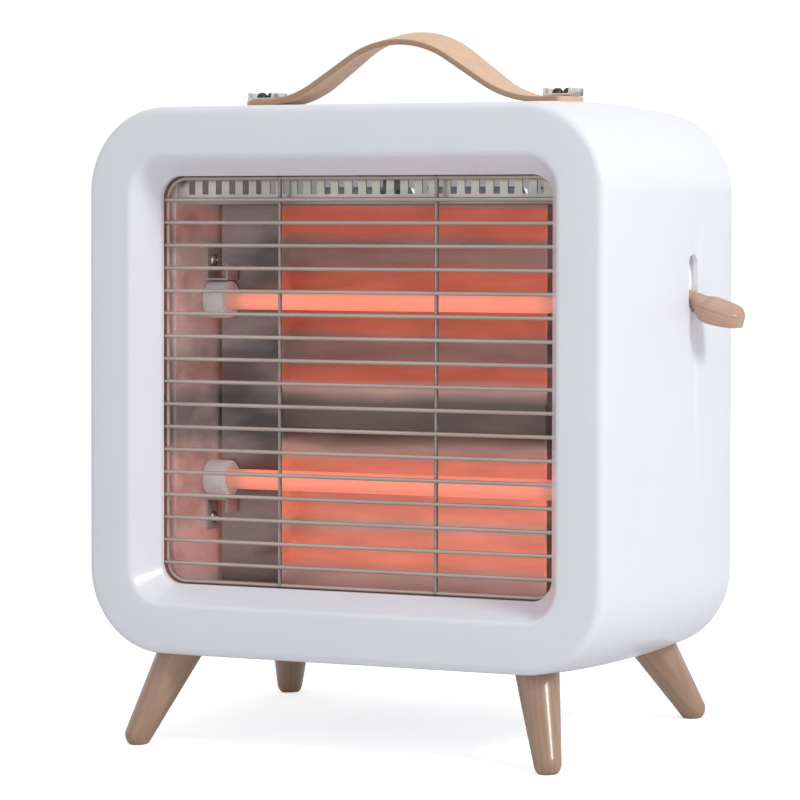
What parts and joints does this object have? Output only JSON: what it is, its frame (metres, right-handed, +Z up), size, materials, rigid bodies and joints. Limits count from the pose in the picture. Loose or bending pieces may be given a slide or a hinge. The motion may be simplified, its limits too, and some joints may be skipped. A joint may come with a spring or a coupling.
{
  "type": "halogen heater",
  "caption": "Free-standing radiant tube heater: rounded white case on splayed wooden legs, wire guard over mirror reflectors, leather strap handle and a side lever switch.",
  "frame": {"origin": "on the floor, in the middle of the whole outline seen from above, which includes the lever on the +X side", "axes": "+Z up, the guard faces -Y, the lever stands out on the +X side"},
  "size_m": [0.378, 0.211, 0.414],
  "materials": {
    "case_plastic": "smooth white moulded plastic with a soft sheen",
    "guard_wire": "grey plated wire, slightly dull",
    "vent_metal": "pale satin sheet steel",
    "reflector_sheet": "bright polished reflector sheet",
    "galvanised_sheet": "dull zinc-coated sheet steel",
    "ceramic": "matt off-white steatite ceramic",
    "quartz": "clear quartz glass that glows orange pink",
    "heating_element": "glowing orange resistance wire",
    "chrome": "bright chrome plate",
    "dark_screw": "dark browned steel",
    "steel": "zinc-plated steel",
    "strap_leather": "smooth tan leather strap with cut edges",
    "wood": "oiled beech, turned, warm brown",
    "black_plastic": "matt black plastic"
  },
  "bodies": {
    "case": {"bracket_screw_lower_left": "chrome", "bracket_screw_lower_right": "chrome", "bracket_screw_upper_left": "chrome", "bracket_screw_upper_right": "chrome", "ceiling_plate": "galvanised_sheet", "chassis_screw_1": "steel", "chassis_screw_2": "steel", "chassis_screw_3": "steel", "chassis_screw_4": "steel", "cord_gland": "black_plastic", "cover_screw_1": "steel", "cover_screw_2": "steel", "cover_screw_3": "steel", "cover_screw_4": "steel", "end_cheek_left": "reflector_sheet", "end_cheek_right": "reflector_sheet", "filament_lower": "heating_element", "filament_upper": "heating_element", "floor_plate": "galvanised_sheet", "front_housing": "case_plastic", "grille": "guard_wire", "handle_strap": "strap_leather", "heat_shield": "galvanised_sheet", "holder_bracket_lower_left": "galvanised_sheet", "holder_bracket_lower_right": "galvanised_sheet", "holder_bracket_upper_left": "galvanised_sheet", "holder_bracket_upper_right": "galvanised_sheet", "leg_front_left": "wood", "leg_front_right": "wood", "leg_rear_left": "wood", "leg_rear_right": "wood", "leg_stud_front_left": "steel", "leg_stud_front_right": "steel", "leg_stud_rear_left": "steel", "leg_stud_rear_right": "steel", "quartz_tube_lower": "quartz", "quartz_tube_upper": "quartz", "rear_cover": "case_plastic", "reflector_lower": "reflector_sheet", "reflector_upper": "reflector_sheet", "side_plate_left": "reflector_sheet", "side_plate_right": "reflector_sheet", "strap_plate_left": "chrome", "strap_plate_right": "chrome", "strap_screw_1": "dark_screw", "strap_screw_2": "dark_screw", "strap_screw_3": "dark_screw", "strap_screw_4": "dark_screw", "switch_body": "black_plastic", "thermal_cutout": "steel", "tilt_switch": "black_plastic", "tube_holder_lower_left": "ceramic", "tube_holder_lower_right": "ceramic", "tube_holder_upper_left": "ceramic", "tube_holder_upper_right": "ceramic", "vent_strip": "vent_metal"},
    "lever": {"switch_shaft": "steel", "lever_arm": "black_plastic", "lever_grip": "wood"}
  },
  "joints": [
    {"name": "switch_lever", "type": "hinge", "parent": "case", "child": "lever", "pos_m": [0.11701, 0.0356, 0.26576], "axis": [0, -0.9977, 0.068], "range_deg": [0, 30]}
  ]
}
